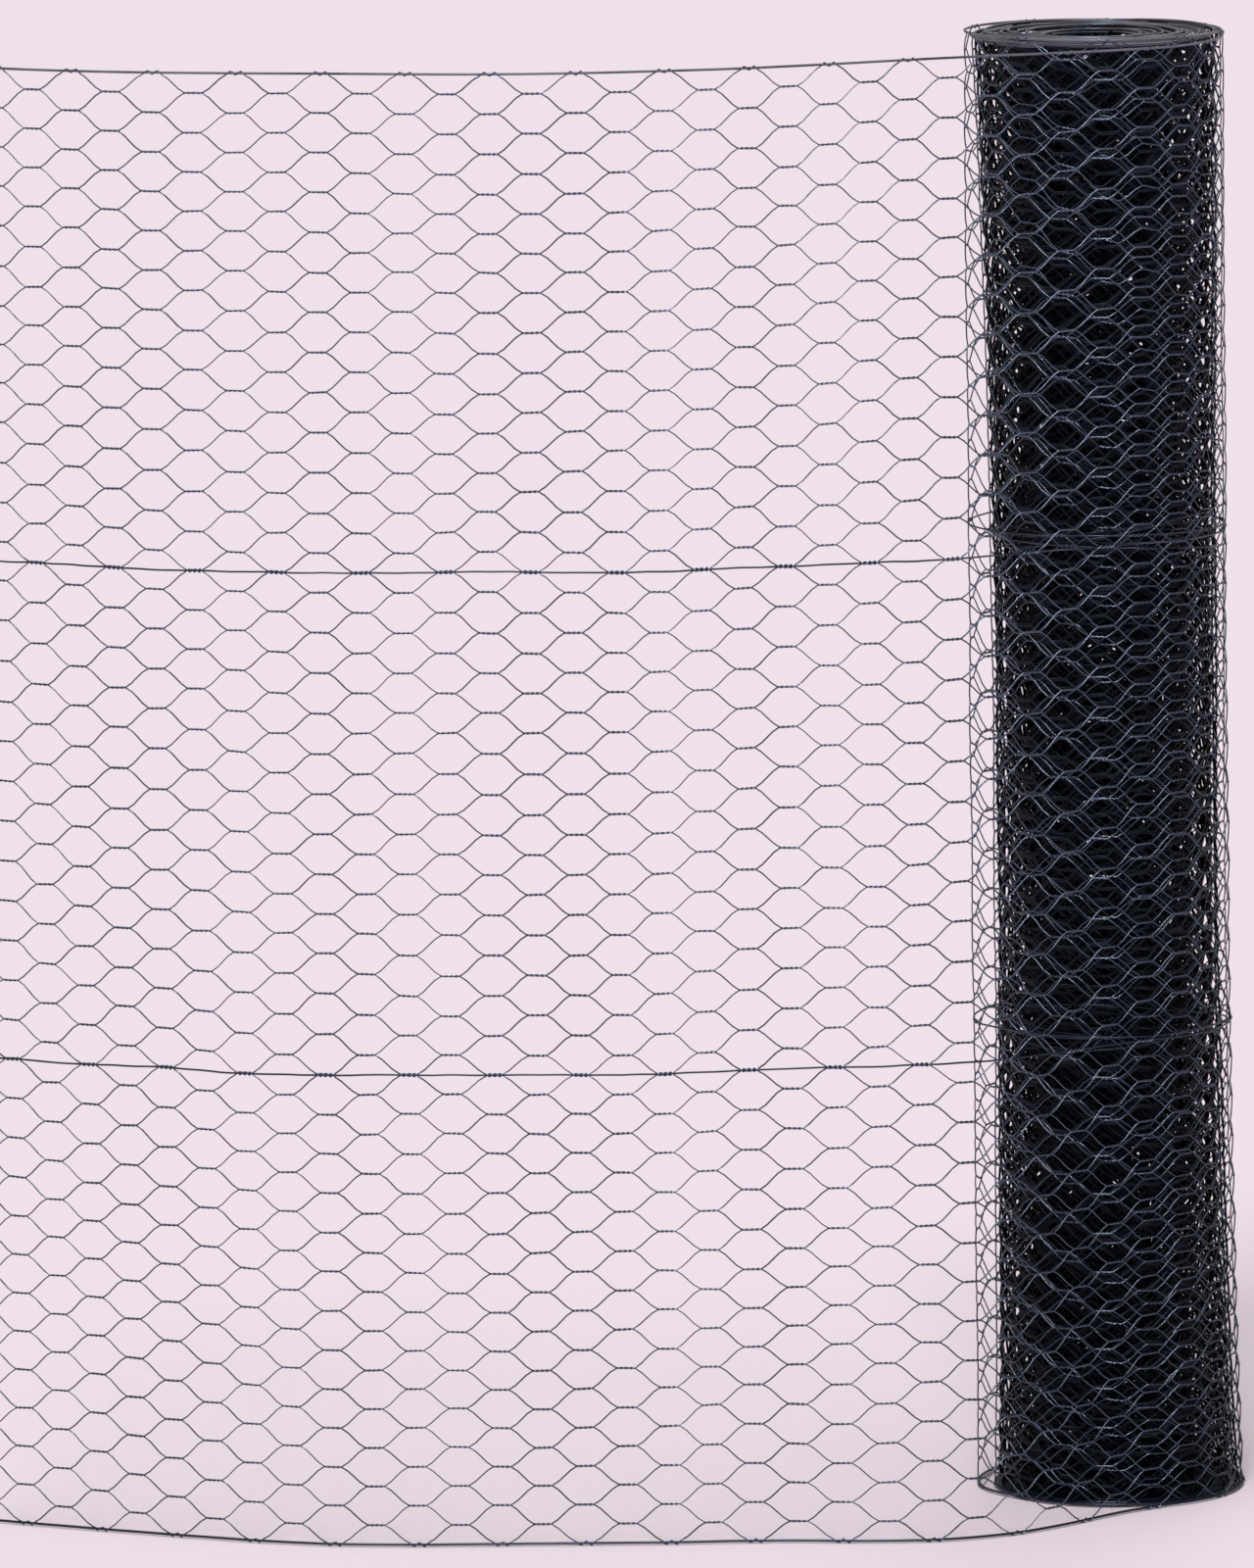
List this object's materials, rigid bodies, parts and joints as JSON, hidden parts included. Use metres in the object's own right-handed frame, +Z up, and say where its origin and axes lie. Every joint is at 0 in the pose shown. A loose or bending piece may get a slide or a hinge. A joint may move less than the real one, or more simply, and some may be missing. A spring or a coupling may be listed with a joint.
{
  "type": "roll of chicken wire",
  "caption": "Standing roll of black coated hexagonal wire netting with an open bore, its free end unrolled in a long gentle curve.",
  "frame": {"origin": "on the axis of the roll's bore, at the level of the floor that it stands on", "axes": "+Z up along the bore; the free end leaves the roll's -Y side and runs out towards -X"},
  "size_m": [0.7768, 0.2533, 0.9144],
  "materials": {
    "black_coated_wire": "black plastic coating on galvanised steel wire, satin with a faint blue sheen"
  },
  "bodies": {
    "root": {"wound_roll": "black_coated_wire", "netting_at_roll": "black_coated_wire", "netting_middle": "black_coated_wire", "netting_free_end": "black_coated_wire"}
  },
  "joints": []
}
